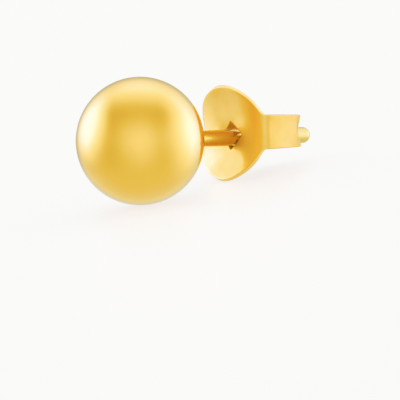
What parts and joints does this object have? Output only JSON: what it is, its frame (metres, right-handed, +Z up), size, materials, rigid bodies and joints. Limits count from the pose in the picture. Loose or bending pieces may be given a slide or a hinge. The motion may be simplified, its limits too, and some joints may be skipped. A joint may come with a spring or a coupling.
{
  "type": "ball stud earring with butterfly back",
  "caption": "Stud earring: a polished gold ball soldered to a straight round post, with a curled sheet butterfly back that slides on the post and grips it.",
  "frame": {"origin": "on the surface that the earring lies on, under the middle of its box", "axes": "+Z up, +Y along the earring from the ball to the tip of the post, +X out towards one ear of the back"},
  "size_m": [0.006, 0.0138, 0.006],
  "materials": {
    "polished_gold": "mirror polished yellow gold",
    "sheet_gold": "stamped and tumbled yellow gold sheet, bright with faint rolling marks"
  },
  "bodies": {
    "stud": {"ball_and_post": "polished_gold"},
    "back": {"butterfly_back": "sheet_gold"}
  },
  "joints": [
    {"name": "back_slide", "type": "slide", "parent": "stud", "child": "back", "axis": [0, 0.9842, -0.1768], "range_m": [-0.0027, 0.0058]}
  ]
}
